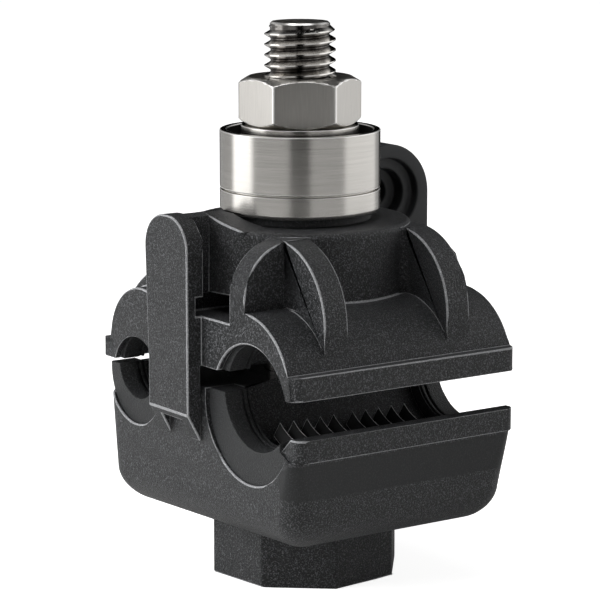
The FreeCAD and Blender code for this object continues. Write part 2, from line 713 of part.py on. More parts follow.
def leg_foot(name, side):
    """A guide leg below the jaw: an outer wall and two toes, cut to a slant below."""
    outer = "half_length + leg_proud"
    inner = "half_length + slide_gap"
    first, last = span(side, inner, outer)
    leg = box(name + "_block", "leg_left", "leg_right", first, last, "leg_toe", "jaw_under")
    first, last = span(side, inner + " - past", outer + " - leg_skin")
    hollow = box(name + "_hollow", "leg_left + leg_side", "leg_right - leg_side",
                 first, last, "leg_toe - past", "leg_hollow")
    slant = [(sided(side, outer), "leg_bottom"), (sided(side, inner), "leg_toe"),
             (sided(side, inner), "leg_toe - past"),
             (sided(side, outer + " + past"), "leg_toe - past"),
             (sided(side, outer + " + past"), "leg_bottom")]
    wedge = extruded(name + "_slant", "yz", slant, "leg_left - past", "leg_right + past")
    return without(name, leg, [hollow, wedge])


def upper_jaw():
    low = "jaw_under"
    core = box("upper_core", "tap_x", "main_x", "-half_length", "half_length", low, "ledge")
    arch = shared("main_arch_body",
                  round_bar("main_arch_bar", "y", "main_arch", "-half_length", "half_length",
                            "main_arch_x", "main_arch_z"),
                  box("main_arch_window", "end_near", "flange_outer", "-half_length",
                      "half_length", "flange_under", "main_arch_z + main_arch"))
    flange = box("main_flange_bar", "main_x", "flange_outer", "-half_length",
                 "half_length", "flange_under", "flange_over")
    flange = rounded("main_flange", flange, ("flange_corner", outermost("flange_outer")))
    tap = shared("tap_arch_body",
                 round_bar("tap_arch_bar", "y", "tap_arch", "-half_length", "half_length",
                           "tap_arch_x", "tap_arch_z"),
                 box("tap_arch_window", "tap_arch_x - tap_arch", "leg_left + past",
                     "-half_length", "half_length", "tap_under", "tap_arch_z + tap_arch"))
    tap_flange = box("tap_flange_bar", "-tap_flange", "tap_x", "-half_length",
                     "half_length", "tap_under", "tap_over")
    boss = round_bar("boss_bar", "z", "boss_radius", low, "boss_top", "0", "0")
    boss = rounded("boss", boss, ("boss_round", at_level("boss_top")))
    rear_web = box("rear_web", "leg_left", "web_right", "0", "half_length", low,
                   "boss_top - rear_leg_drop - leg_round")
    seat = box("cap_seat", "stud_x - seat_half", "stud_x + seat_half", "seat_inner",
               "half_length", low, CAP_FOOT)
    solids = [core, arch, flange, tap, tap_flange, boss, front_web(), rear_web, seat,
              leg_head("front_leg_head", -1, "boss_top + leg_rise"),
              leg_head("rear_leg_head", 1, "boss_top - rear_leg_drop"),
              tap_buttress("tap_buttress", -1)]
    for end, side in ENDS:
        solids += side_buttress("side_buttress_" + end, side)
        solids += end_buttress("end_buttress_" + end, side)
        solids.append(leg_foot("leg_" + end, side))
    shell = joined("upper_shell", solids)
    holes = [
        round_bar("upper_bore", "z", "bolt_radius + bore_play", "0", "bolt_tip", "0", "0"),
        round_bar("upper_grommet_seat", "z", "grommet_radius", "jaw_under - past",
                  "jaw_under + grommet_height", "0", "0"),
        round_bar("upper_main_cavity", "y", "main_cavity", "-seal_inner", "seal_inner",
                  "main_x", "main_z"),
        round_bar("upper_tap_cavity", "y", "tap_cavity", "-seal_inner", "seal_inner",
                  "tap_x", "tap_z"),
        round_bar("upper_main_mouth", "y", "mouth_upper", "-half_length - past",
                  "half_length + past", "mouth_upper_x", "mouth_upper_z"),
        round_bar("upper_tap_mouth", "y", "mouth_over", "-half_length - past",
                  "half_length + past", "mouth_over_x", "mouth_over_z"),
        round_bar("stud_hole", "z", "stud_radius", CAP_FOOT + " - stud_length", CAP_FOOT + " + past",
                  "stud_x", "stud_y"),
        box("under_middle", "tap_x", "main_x", "-half_length", "half_length",
            "tap_under - past", "jaw_under"),
    ]
    for end, side in ENDS:
        holes.append(CONTACTS["upper", end])
        first, last = span(side, "seal_inner", "upper_seal_face")
        holes.append(round_bar("upper_main_pocket_" + end, "y", "main_pocket", first, last,
                               "main_pocket_x", "main_pocket_z"))
        holes.append(round_bar("upper_tap_pocket_" + end, "y", "tap_ring", first, last,
                               "tap_ring_x", "tap_ring_z"))
        first, last = span(side, "slot_depth", "half_length + past")
        holes.append(box("slot_" + end, "slot_near", "end_near", first, last,
                         "ledge", "ledge + slot_height"))
    return keep(without("upper_body", shell, holes), "upper_body")


upper_jaw()


# end cap

def end_cap():
    """The rubber cap for the tap cable's cut end, parked on its seat behind the boss."""
    back = "cap_face - cap_length"
    dome = round_bar("cap_dome", "x", "cap_radius", back, "cap_face", "cap_y", CAP_AXIS)
    foot = box("cap_block", back, "cap_face", "cap_y - cap_radius", "cap_y + cap_radius",
               CAP_FOOT, CAP_AXIS)
    stud = round_bar("cap_stud", "z", "stud_radius", CAP_FOOT + " - stud_length", CAP_FOOT + " + past",
                     "stud_x", "stud_y")
    steps = []
    for name, radius, depth in (("bore", "cap_bore", "cap_bore_depth"),
                                ("step", "cap_step", "cap_step_depth"),
                                ("blind", "cap_blind", "cap_blind_depth")):
        steps.append(round_bar("cap_" + name + "_hole", "x", radius, "cap_face - " + depth,
                               "cap_face + past", "cap_y", CAP_AXIS))
    return keep(without("end_cap", joined("cap_solid", [dome, foot, stud]), steps), "end_cap")


end_cap()


# bolt and the stack on the boss

def bolt():
    shank = round_bar("bolt_shank", "z", "bolt_radius", "head_level + head_height", "bolt_tip",
                      "0", "0")
    head = sided_bar("bolt_head", 6, "hex_flats / sqrt(3)", "head_level",
                     "head_level + head_height")
    whole = joined("bolt_blank", [shank, head])
    doc.recompute()
    tip = doc.addObject("Part::Chamfer", "bolt_end")
    tip.Base = whole
    size = worth("bolt_chamfer")
    chosen = at_level("bolt_tip")
    tip.Edges = [(number, size, size)
                 for number, edge in enumerate(whole.Shape.Edges, start=1) if chosen(edge)]
    return keep(tip, "bolt")


def grommets():
    for name, low in (("lower", "shoulder - grommet_height"), ("upper", "jaw_under")):
        high = low + " + grommet_height"
        ring = round_bar("grommet_%s_ring" % name, "z", "grommet_radius", low, high, "0", "0")
        hole = round_bar("grommet_%s_hole" % name, "z", "bolt_radius + shank_play",
                         low + " - past", high + " + past", "0", "0")
        keep(without("bolt_grommet_" + name, ring, [hole]), "bolt_grommet_" + name)


DISC_LOW = "boss_top + collar_height"
CUP_LOW = DISC_LOW + " + disc_height + groove"
SPRING_LOW = CUP_LOW + " + cup_floor"
CUP_TOP = CUP_LOW + " + cup_height"
SPRING_STEP = "spring_sheet + spring_rise"
WASHER_LOW = SPRING_LOW + " + 3 * (" + SPRING_STEP + ")"
NUT_LOW = WASHER_LOW + " + washer_height"


def washer_like(name, radius, bore, low, high):
    ring = round_bar(name + "_disc", "z", radius, low, high, "0", "0")
    hole = round_bar(name + "_hole", "z", bore, low + " - past", high + " + past", "0", "0")
    return without(name, ring, [hole])


def disc_and_cup():
    collar = washer_like("boss_collar", "collar_radius", "washer_bore", "boss_top", DISC_LOW)
    keep(collar, "boss_collar")
    disc_high = DISC_LOW + " + disc_height"
    plain = washer_like("disc_plain", "cup_radius", "washer_bore", DISC_LOW, disc_high)
    under = at_level(DISC_LOW)
    plain = rounded("disc_round_rim", plain, (
        "disc_round", lambda edge: under(edge) and edge.BoundBox.XMax > worth("collar_radius")))
    register = washer_like("disc_register", "cup_radius - groove_depth", "washer_bore",
                           disc_high, CUP_LOW)
    keep(joined("pressure_disc", [plain, register]), "pressure_disc")
    outside = round_bar("cup_outside", "z", "cup_radius", CUP_LOW, CUP_TOP, "0", "0")
    inside = round_bar("cup_inside", "z", "cup_radius - cup_wall", SPRING_LOW, CUP_TOP + " + past",
                       "0", "0")
    hole = round_bar("cup_hole", "z", "washer_bore", CUP_LOW + " - past", CUP_TOP, "0", "0")
    keep(without("pressure_cup", outside, [inside, hole]), "pressure_cup")


def disc_springs():
    """Three disc springs, stacked turn about, so that rims and bores meet in turn."""
    for i, name in enumerate(("lower", "middle", "upper")):
        low = "%s + %d * (%s)" % (SPRING_LOW, i, SPRING_STEP)
        rim, eye = ("0", "spring_rise") if i % 2 == 0 else ("spring_rise", "0")
        points = [("spring_radius", "%s + %s" % (low, rim)),
                  ("spring_radius", "%s + %s + spring_sheet" % (low, rim)),
                  ("washer_bore", "%s + %s + spring_sheet" % (low, eye)),
                  ("washer_bore", "%s + %s" % (low, eye))]
        keep(turned("disc_spring_" + name, "xz", points, "0", Vector(0, 0, 1), ("0", "0", "0")),
             "disc_spring_" + name)


def nut():
    high = NUT_LOW + " + nut_height"
    prism = sided_bar("nut_prism", 6, "hex_flats / sqrt(3)", NUT_LOW, high)
    reach = "hex_flats / sqrt(3) + past"
    drop = "(hex_flats / sqrt(3) + past - nut_face) * tan(nut_bevel)"
    points = [("0", NUT_LOW), ("nut_face", NUT_LOW), (reach, NUT_LOW + " + " + drop),
              (reach, high + " - " + drop), ("nut_face", high), ("0", high)]
    envelope = turned("nut_envelope", "xz", points, "0", Vector(0, 0, 1), ("0", "0", "0"))
    hole = round_bar("nut_hole", "z", "bolt_radius + thread_play", NUT_LOW + " - past",
                     high + " + past", "0", "0")
    keep(without("nut", shared("nut_blank", prism, envelope), [hole]), "nut")


bolt()
grommets()
disc_and_cup()
disc_springs()
keep(washer_like("nut_washer", "washer_radius", "washer_bore", WASHER_LOW, NUT_LOW), "nut_washer")
nut()

doc.recompute()

faults = []
for thing in doc.Objects:
    if "Invalid" in thing.State or "Error" in thing.State:
        faults.append(thing.Name)
    elif thing.TypeId == "Part::Cut" and not thing.Base.Shape.Volume > thing.Shape.Volume:
        faults.append(thing.Name)
for thing in PARTS:
    if thing.Shape.isNull() or not thing.Shape.isValid() or not thing.Shape.Solids:
        faults.append(thing.Label)
if faults:
    raise RuntimeError("not built: " + ", ".join(faults))

os.makedirs("parts", exist_ok=True)
for thing in PARTS:
    thing.Shape.exportStep(os.path.join("parts", thing.Label + ".step"))
    print(thing.Label, len(thing.Shape.Solids), round(thing.Shape.Volume, 1))
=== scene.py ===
import json
import math

import bpy
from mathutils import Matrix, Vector
from mathutils.bvhtree import BVHTree
from mathutils.geometry import intersect_point_line


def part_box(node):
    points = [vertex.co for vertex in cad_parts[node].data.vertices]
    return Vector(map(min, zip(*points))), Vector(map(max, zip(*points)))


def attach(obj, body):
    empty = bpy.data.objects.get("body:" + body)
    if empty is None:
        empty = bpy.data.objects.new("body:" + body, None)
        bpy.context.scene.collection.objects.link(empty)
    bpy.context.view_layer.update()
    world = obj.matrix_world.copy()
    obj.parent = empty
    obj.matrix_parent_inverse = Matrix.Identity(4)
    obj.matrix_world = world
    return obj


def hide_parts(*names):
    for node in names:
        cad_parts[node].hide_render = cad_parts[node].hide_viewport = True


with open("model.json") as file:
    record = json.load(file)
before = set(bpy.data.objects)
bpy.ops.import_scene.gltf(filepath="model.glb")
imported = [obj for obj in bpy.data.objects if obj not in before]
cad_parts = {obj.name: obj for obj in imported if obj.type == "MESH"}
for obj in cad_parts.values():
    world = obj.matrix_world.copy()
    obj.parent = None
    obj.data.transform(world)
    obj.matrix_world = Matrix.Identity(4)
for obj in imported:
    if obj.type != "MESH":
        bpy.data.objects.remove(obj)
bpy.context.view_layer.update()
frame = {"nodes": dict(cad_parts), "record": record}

MM = 0.001
CENTRE = Vector((0.0, 0.0, 46.4)) * MM  # middle of the connector, on the bolt's axis
CAMERA_TURN = math.radians(-35.0)  # the camera's direction, from the main cable's side
CAMERA_RISE = math.radians(10.5)

BODY_OF = {}
for body, members in frame["record"]["behaviour"]["bodies"].items():
    for member in members:
        BODY_OF[member] = body
SLOT_OF = {part["node"]: part["material_slot"] for part in frame["record"]["subparts"]}


# edges and shapes

SHARP_EDGE = 28.0  # degrees: an edge that turns more than this is rounded
ROUNDING_TRIES = 6
LONG_EDGE = 25.0 * MM  # an edge longer than this keeps the least share, whatever crowds it
LEAST_SHARE = 0.3
SPECK = 1e-12  # areas in square metres: smaller triangles and faces aren't judged
SLIVER = 1e-10
STRIP = 1e-9
BROAD_FACE = 1e-6


def pick(piece):
    """Leave one object selected and active."""
    if bpy.context.object is not None and bpy.context.object.mode != "OBJECT":
        bpy.ops.object.mode_set(mode="OBJECT")
    bpy.ops.object.select_all(action="DESELECT")
    piece.select_set(True)
    bpy.context.view_layer.objects.active = piece


def copy_of(node, name):
    """A copy of a CAD node with its loose triangles merged into whole faces."""
    piece = bpy.data.objects.new(name, frame["nodes"][node].data.copy())
    bpy.context.scene.collection.objects.link(piece)
    pick(piece)
    bpy.ops.object.mode_set(mode="EDIT")
    bpy.ops.mesh.select_all(action="SELECT")
    bpy.ops.mesh.remove_doubles(threshold=0.000001)
    bpy.ops.mesh.dissolve_limited(angle_limit=math.radians(0.5), delimit={"NORMAL"})
    bpy.ops.object.mode_set(mode="OBJECT")
    return piece


def apply_new(piece, kind, **settings):
    """Add a modifier with its settings and apply it."""
    pick(piece)
    modifier = piece.modifiers.new(kind.lower(), kind)
    for setting, value in settings.items():
        setattr(modifier, setting, value)
    bpy.ops.object.modifier_apply(modifier=modifier.name)


def sharp_edges(mesh):
    """The width share of each edge's rounding: all of it on a sharp edge, none on a smooth one."""
    sides = {}
    for face in mesh.polygons:
        for key in face.edge_keys:
            sides.setdefault(key, []).append(face.normal)
    shares = []
    for edge in mesh.edges:
        normals = sides.get(edge.key, [])
        turned = len(normals) == 2 and normals[0].angle(normals[1], 0.0) > math.radians(
            SHARP_EDGE)
        shares.append(1.0 if turned else 0.0)
    return shares


def folds(mesh, before, old_normals, width):
    """Places where a rounded mesh leaves the surface it had, turns inside out or tears open."""
    places = []
    uses = {}
    for face in mesh.polygons:
        for key in face.edge_keys:
            uses[key] = uses.get(key, 0) + 1
        place, normal, index, distance = before.find_nearest(face.center)
        if distance > 0.75 * width or (face.area > SLIVER and distance < 0.15 * width
                                       and face.normal.dot(old_normals[index]) < -0.2):
            places.append(face.center.copy())
    for vertex in mesh.vertices:
        if before.find_nearest(vertex.co)[3] > 0.8 * width:
            places.append(vertex.co.copy())
    for key, count in uses.items():
        if count != 2:
            places.append((mesh.vertices[key[0]].co + mesh.vertices[key[1]].co) / 2)
    mesh.calc_loop_triangles()
    for triangle in mesh.loop_triangles:
        whole = mesh.polygons[triangle.polygon_index]
        agreement = triangle.normal.dot(whole.normal)
        if (triangle.area > SPECK and agreement < 0.5
                or triangle.area > STRIP and whole.area > BROAD_FACE and agreement < 0.96):
            places.extend(mesh.vertices[i].co.copy() for i in triangle.vertices)
    apart = []
    for place in places:
        if all((place - other).length > 0.5 * width for other in apart):
            apart.append(place)
    return apart


def soften(piece, width, painted_highlight_slot=-1):
    """Round the sharp edges as a mould or a deburring tool leaves them, less where they crowd.

    Each try narrows the edges near the folds that it finds. On most pieces some are still found
    at the last try, hundreds of them on the two bodies and the nut, and that shape is kept.
    """
    start_mesh = piece.data
    start_mesh.update()
    points = [vertex.co.copy() for vertex in start_mesh.vertices]
    before = BVHTree.FromPolygons(points, [tuple(face.vertices) for face in start_mesh.polygons])
    old_normals = [face.normal.copy() for face in start_mesh.polygons]
    shares = sharp_edges(start_mesh)
    ends = [tuple(edge.vertices) for edge in start_mesh.edges]
    least = [LEAST_SHARE if (points[first] - points[second]).length > LONG_EDGE else 0.0
             for first, second in ends]
    for _ in range(ROUNDING_TRIES):
        piece.data = start_mesh.copy()
        weights = piece.data.attributes.new("bevel_weight_edge", "FLOAT", "EDGE")
        weights.data.foreach_set("value", shares)
        # the rounded edges take the material in the edge slot, when one is given: a painted
        # highlight
        apply_new(piece, "BEVEL", width=width, segments=2, limit_method="WEIGHT",
                  use_clamp_overlap=False, loop_slide=False, material=painted_highlight_slot)
        crowded = folds(piece.data, before, old_normals, width)
        if not crowded:
            break
        changed = False
        for i, (first, second) in enumerate(ends):
            if shares[i] <= least[i]:
                continue
            for place in crowded:
                near, along = intersect_point_line(place, points[first], points[second])
                near = points[first].lerp(points[second], min(max(along, 0.0), 1.0))
                if (near - place).length < 1.3 * width:
                    shares[i] = max(shares[i] * 0.5 if shares[i] > 0.2 else 0.0, least[i])
                    changed = True
                    break
        if not changed:
            break
    apply_new(piece, "TRIANGULATE", ngon_method="BEAUTY", min_vertices=5)
    smooth(piece)


def smooth(piece, sharp=50.0):
    """Shade smooth across edges that turn less than this many degrees."""
    pick(piece)
    bpy.ops.object.shade_smooth_by_angle(angle=math.radians(sharp))
    apply_new(piece, "WEIGHTED_NORMAL", keep_sharp=True, weight=100)


def stands_for(piece, node):
    """Put a finished piece in a CAD node's place and on its body, hiding the node."""
    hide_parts(node)
    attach(piece, BODY_OF[node])


# materials

def linear(code):
    """A colour for a socket, from its sRGB hex value."""
    channels = []
    for i in (1, 3, 5):
        value = int(code[i:i + 2], 16) / 255
        channels.append(value / 12.92 if value <= 0.04045 else ((value + 0.055) / 1.055) ** 2.4)
    return (*channels, 1.0)


def add(tree, kind, sockets=None, **settings):
    """Add a node with its settings. A socket takes a value, or another node's output."""
    node = tree.nodes.new(kind)
    for setting, value in settings.items():
        setattr(node, setting, value)
    for socket, value in (sockets or {}).items():
        if isinstance(value, bpy.types.NodeSocket):
            tree.links.new(value, node.inputs[socket])
        else:
            node.inputs[socket].default_value = value
    return node


def start(name):
    """A new material, its node tree, its main shader and the place on the object."""
    material = bpy.data.materials.new(name)
    material.use_nodes = True
    tree = material.node_tree
    shader = tree.nodes["Principled BSDF"]
    place = tree.nodes.new("ShaderNodeTexCoord").outputs["Object"]
    return material, tree, shader, place


def set_shader(tree, shader, **values):
    """Set the main shader's sockets, each to a value or to another node's output."""
    for socket, value in values.items():
        socket = socket.replace("_", " ").capitalize() if socket != "IOR" else "IOR"
        socket = {"Base color": "Base Color", "Specular ior level": "Specular IOR Level",
                  "Anisotropic rotation": "Anisotropic Rotation"}.get(socket, socket)
        if isinstance(value, bpy.types.NodeSocket):
            tree.links.new(value, shader.inputs[socket])
        else:
            shader.inputs[socket].default_value = value


def nylon(name, dark, light, fleck):
    # Glass-filled polyamide from a spark-eroded mould: near black, semi-matt, with an even grain
    # of pits and flecks about 0.25 mm across, and the upper band of the lower jaw's side is
    # polished. Its rounded edges get a second, paler coat of it: rubbed nylon, painted paler still
    # as a highlight, so that they show at the render's size.
    material, tree, shader, place = start(name)
    grain = add(tree, "ShaderNodeTexNoise",
                {"Vector": place, "Scale": 4200.0, "Detail": 2.0, "Roughness": 0.6})
    cloud = add(tree, "ShaderNodeTexNoise",
                {"Vector": place, "Scale": 160.0, "Detail": 3.0, "Roughness": 0.6})
    axes = add(tree, "ShaderNodeSeparateXYZ", {"Vector": place})
    east = add(tree, "ShaderNodeMath", {0: axes.outputs["X"], 1: 26.0 * MM},
               operation="GREATER_THAN")
    above = add(tree, "ShaderNodeMapRange", {"Value": axes.outputs["Z"], "From Min": 20.1 * MM,
                                             "From Max": 20.5 * MM})
    below = add(tree, "ShaderNodeMapRange", {"Value": axes.outputs["Z"], "From Min": 26.4 * MM,
                                             "From Max": 26.2 * MM})
    band = add(tree, "ShaderNodeMath", {0: above.outputs["Result"], 1: below.outputs["Result"]},
               operation="MULTIPLY")
    polished = add(tree, "ShaderNodeMath", {0: band.outputs["Value"], 1: east.outputs["Value"]},
                   operation="MULTIPLY")
    tone = add(tree, "ShaderNodeMix", {0: cloud.outputs["Fac"], 6: linear(dark),
                                       7: linear(light)}, data_type="RGBA")
    rough_share = add(tree, "ShaderNodeMapRange", {"Value": polished.outputs["Value"],
                                                   "To Min": 1.0, "To Max": 0.15})
    flecks = add(tree, "ShaderNodeMapRange", {"Value": grain.outputs["Fac"], "From Min": 0.5,
                                              "From Max": 0.74,
                                              "To Max": rough_share.outputs["Result"]})
    colour = add(tree, "ShaderNodeMix", {0: flecks.outputs["Result"],
                                         6: tone.outputs[2], 7: linear(fleck)},
                 data_type="RGBA")
    gloss = add(tree, "ShaderNodeMapRange", {"Value": grain.outputs["Fac"], "From Min": 0.3,
                                             "From Max": 0.7, "To Min": 0.28, "To Max": 0.5})
    bump = add(tree, "ShaderNodeBump", {"Height": grain.outputs["Fac"],
                                        "Strength": rough_share.outputs["Result"],
                                        "Distance": 0.3 * MM})
    set_shader(tree, shader, base_color=colour.outputs[2], IOR=1.53, specular_ior_level=0.38,
               roughness=gloss.outputs["Result"], normal=bump.outputs["Normal"])
    return material


def rubber():
    # Moulded EPDM from a spark-eroded mould: black, with a grain about 0.25 mm across, much like
    # the jaws', and faint flow marks of about 2 mm.
    material, tree, shader, place = start("moulded_epdm_rubber")
    flow = add(tree, "ShaderNodeTexNoise", {"Vector": place, "Scale": 420.0, "Detail": 4.0})
    grain = add(tree, "ShaderNodeTexNoise",
                {"Vector": place, "Scale": 4000.0, "Detail": 2.0, "Roughness": 0.6})
    tone = add(tree, "ShaderNodeMix", {0: flow.outputs["Fac"],
                                       6: linear("#222324"), 7: linear("#2e2f30")},
               data_type="RGBA")
    speck = add(tree, "ShaderNodeMapRange", {"Value": grain.outputs["Fac"], "From Min": 0.52,
                                             "From Max": 0.7, "To Max": 0.5})
    colour = add(tree, "ShaderNodeMix", {0: speck.outputs["Result"],
                                         6: tone.outputs[2], 7: linear("#707173")},
                 data_type="RGBA")
    gloss = add(tree, "ShaderNodeMapRange", {"Value": grain.outputs["Fac"], "From Min": 0.3,
                                             "From Max": 0.7, "To Min": 0.32, "To Max": 0.55})
    bump = add(tree, "ShaderNodeBump", {"Height": grain.outputs["Fac"], "Strength": 1.0,
                                        "Distance": 0.3 * MM})
    set_shader(tree, shader, base_color=colour.outputs[2], IOR=1.52, specular_ior_level=0.4,
               roughness=gloss.outputs["Result"], normal=bump.outputs["Normal"])
    return material


def soft_vinyl():
    # Dipped soft vinyl of the end cap: black, satin, with a slight orange peel.
    material, tree, shader, place = start("soft_vinyl")
    peel = add(tree, "ShaderNodeTexNoise", {"Vector": place, "Scale": 1100.0, "Detail": 2.0})
    colour = add(tree, "ShaderNodeMix", {0: peel.outputs["Fac"],
                                         6: linear("#1f2022"), 7: linear("#27282a")},
                 data_type="RGBA")
    bump = add(tree, "ShaderNodeBump", {"Height": peel.outputs["Fac"], "Strength": 0.2,
                                        "Distance": 0.08 * MM})
    set_shader(tree, shader, base_color=colour.outputs[2], IOR=1.5, roughness=0.5,
               normal=bump.outputs["Normal"])
    return material


def tinned_copper(name, dark, light):
    # Stamped copper, tinned, painted near black as the shade deep in the jaws, with smears 1 mm
    # across. The teeth's crests get a bright coat of it, a painted highlight.
    material, tree, shader, place = start(name)
    smear = add(tree, "ShaderNodeTexNoise", {"Vector": place, "Scale": 900.0, "Detail": 4.0})
    colour = add(tree, "ShaderNodeMix", {0: smear.outputs["Fac"], 6: linear(dark),
                                         7: linear(light)}, data_type="RGBA")
    gloss = add(tree, "ShaderNodeMapRange", {"Value": smear.outputs["Fac"], "To Min": 0.35,
                                             "To Max": 0.6})
    bump = add(tree, "ShaderNodeBump", {"Height": smear.outputs["Fac"], "Strength": 0.15,
                                        "Distance": 0.05 * MM})
    set_shader(tree, shader, base_color=colour.outputs[2], roughness=gloss.outputs["Result"],
               normal=bump.outputs["Normal"])
    return material


def satin_stainless(name, dark, light):
    # Stainless steel nut, its flats linished upright: lines 0.2 mm apart, coarser than real ones
    # so that they show. Its edges and those of the turned pieces get a nearly white coat of it,
    # burnished steel painted brighter as a highlight.
    material, tree, shader, place = start(name)
    along = add(tree, "ShaderNodeMapping", {"Vector": place, "Scale": (5200.0, 5200.0, 260.0)})
    lines = add(tree, "ShaderNodeTexNoise",
                {"Vector": along.outputs["Vector"], "Scale": 1.0, "Detail": 3.0})
    colour = add(tree, "ShaderNodeMix", {0: lines.outputs["Fac"],
                                         6: linear(dark), 7: linear(light)},
                 data_type="RGBA")
    gloss = add(tree, "ShaderNodeMapRange", {"Value": lines.outputs["Fac"], "To Min": 0.24,
                                             "To Max": 0.38})
    bump = add(tree, "ShaderNodeBump", {"Height": lines.outputs["Fac"], "Strength": 0.1,
                                        "Distance": 0.02 * MM})
    set_shader(tree, shader, base_color=colour.outputs[2], metallic=1.0,
               roughness=gloss.outputs["Result"], normal=bump.outputs["Normal"])
    return material


def turned_stainless():
    # Stainless steel turned on a lathe: rings round the axis, 0.15 mm apart, coarser than real
    # ones so that they show, which smear the reflections into upright bands.
    material, tree, shader, place = start("turned_stainless_steel")
    across = add(tree, "ShaderNodeMapping", {"Vector": place, "Scale": (120.0, 120.0, 6800.0)})
    rings = add(tree, "ShaderNodeTexNoise",
                {"Vector": across.outputs["Vector"], "Scale": 1.0, "Detail": 3.0})
    colour = add(tree, "ShaderNodeMix", {0: rings.outputs["Fac"],
                                         6: linear("#c4c1bc"), 7: linear("#dad7d2")},
                 data_type="RGBA")
    gloss = add(tree, "ShaderNodeMapRange", {"Value": rings.outputs["Fac"], "To Min": 0.16,
                                             "To Max": 0.28})
    bump = add(tree, "ShaderNodeBump", {"Height": rings.outputs["Fac"], "Strength": 0.06,
                                        "Distance": 0.02 * MM})
    round_it = add(tree, "ShaderNodeTangent", direction_type="RADIAL", axis="Z")
    set_shader(tree, shader, base_color=colour.outputs[2], metallic=1.0,
               roughness=gloss.outputs["Result"], normal=bump.outputs["Normal"],
               anisotropic=0.7, anisotropic_rotation=0.25, tangent=round_it.outputs["Tangent"])
    return material


def rolled_steel():
    # Bolt with a rolled thread: warm grey steel, painted bright on the crests as a highlight and
    # darker in the roots as shade, with random stains.
    material, tree, shader, place = start("rolled_steel")
    axes = add(tree, "ShaderNodeSeparateXYZ", {"Vector": place})
    flat = add(tree, "ShaderNodeCombineXYZ", {"X": axes.outputs["X"], "Y": axes.outputs["Y"]})
    radius = add(tree, "ShaderNodeVectorMath", {0: flat.outputs["Vector"]}, operation="LENGTH")
    # painted light: brighter the farther from the axis, from root shade to crest highlight
    crest = add(tree, "ShaderNodeMapRange", {"Value": radius.outputs["Value"],
                                             "From Min": 4.93 * MM, "From Max": 5.9 * MM,
                                             "To Min": 0.0, "To Max": 0.85})
    stain = add(tree, "ShaderNodeTexNoise", {"Vector": place, "Scale": 700.0, "Detail": 4.0})
    smudge = add(tree, "ShaderNodeMapRange", {"Value": stain.outputs["Fac"], "From Min": 0.35,
                                              "From Max": 0.65, "To Min": 0.0, "To Max": 0.15})
    shade = add(tree, "ShaderNodeMath", {0: crest.outputs["Result"],
                                         1: smudge.outputs["Result"]}, operation="ADD")
    colour = add(tree, "ShaderNodeMix", {0: shade.outputs["Value"],
                                         6: linear("#3c3733"), 7: linear("#fbf8f4")},
                 data_type="RGBA")
    gloss = add(tree, "ShaderNodeMapRange", {"Value": stain.outputs["Fac"], "To Min": 0.1,
                                             "To Max": 0.2})
    set_shader(tree, shader, base_color=colour.outputs[2], metallic=1.0,
               roughness=gloss.outputs["Result"])
    return material


def blackened_spring_steel():
    # Disc springs of blackened and oiled steel: near black with a blue-brown cast, satin.
    # inside the pressure cup this dark steel is painted shade
    material, tree, shader, place = start("blackened_spring_steel")
    cloud = add(tree, "ShaderNodeTexNoise", {"Vector": place, "Scale": 260.0, "Detail": 4.0})
    colour = add(tree, "ShaderNodeMix", {0: cloud.outputs["Fac"],
                                         6: linear("#1c1d20"), 7: linear("#302d2a")},
                 data_type="RGBA")
    gloss = add(tree, "ShaderNodeMapRange", {"Value": cloud.outputs["Fac"], "To Min": 0.3,
                                             "To Max": 0.5})
    set_shader(tree, shader, base_color=colour.outputs[2], metallic=1.0,
               roughness=gloss.outputs["Result"])
    return material


def coat(piece, *materials):
    """Give a piece these materials, and the first of them on every face."""
    piece.data.materials.clear()
    for material in materials:
        piece.data.materials.append(material)
    for face in piece.data.polygons:
        face.material_index = 0


NYLON = nylon("glass_filled_nylon", "#191a1b", "#232425", "#78797c")
# rounded nylon edges: rubbed nylon, its pale colour mostly a painted highlight
RUBBED_NYLON_HIGHLIGHT = nylon("rubbed_nylon_edge_painted_highlight", "#8a8b8e", "#aeafb1", "#e0e1e3")
FINISH = {"nylon": NYLON, "rubber": rubber(), "soft_plastic": soft_vinyl(),
          # the contacts: near black, painted shade
          "tinned_contact": tinned_copper("tinned_copper_painted_shade", "#101011", "#232324"),
          "bolt_steel": rolled_steel(), "stainless_steel": turned_stainless()}
NUT_STEEL = satin_stainless("linished_stainless_steel", "#bdbab5", "#d6d3ce")
# steel edges and chamfers: nearly white, a painted highlight
BURNISHED_EDGE_HIGHLIGHT = satin_stainless("burnished_steel_edge_painted_highlight", "#f6f4f0", "#fffefc")
# tooth crests: nearly white, a painted highlight
TOOTH_CREST_HIGHLIGHT = tinned_copper("tinned_crest_painted_highlight", "#d4d4d6", "#f0f0f2")
SPRING_STEEL_AND_PAINTED_SHADE = blackened_spring_steel()


# bolt with its thread

PITCH = 1.75 * MM
CREST = 5.98 * MM
ROOT = 4.93 * MM
THREAD_LOW = 58.0 * MM
THREAD_STEPS = 64  # to a turn
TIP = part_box("bolt")[1].z


POINT = 1.0 * MM  # the plain turned length above the thread


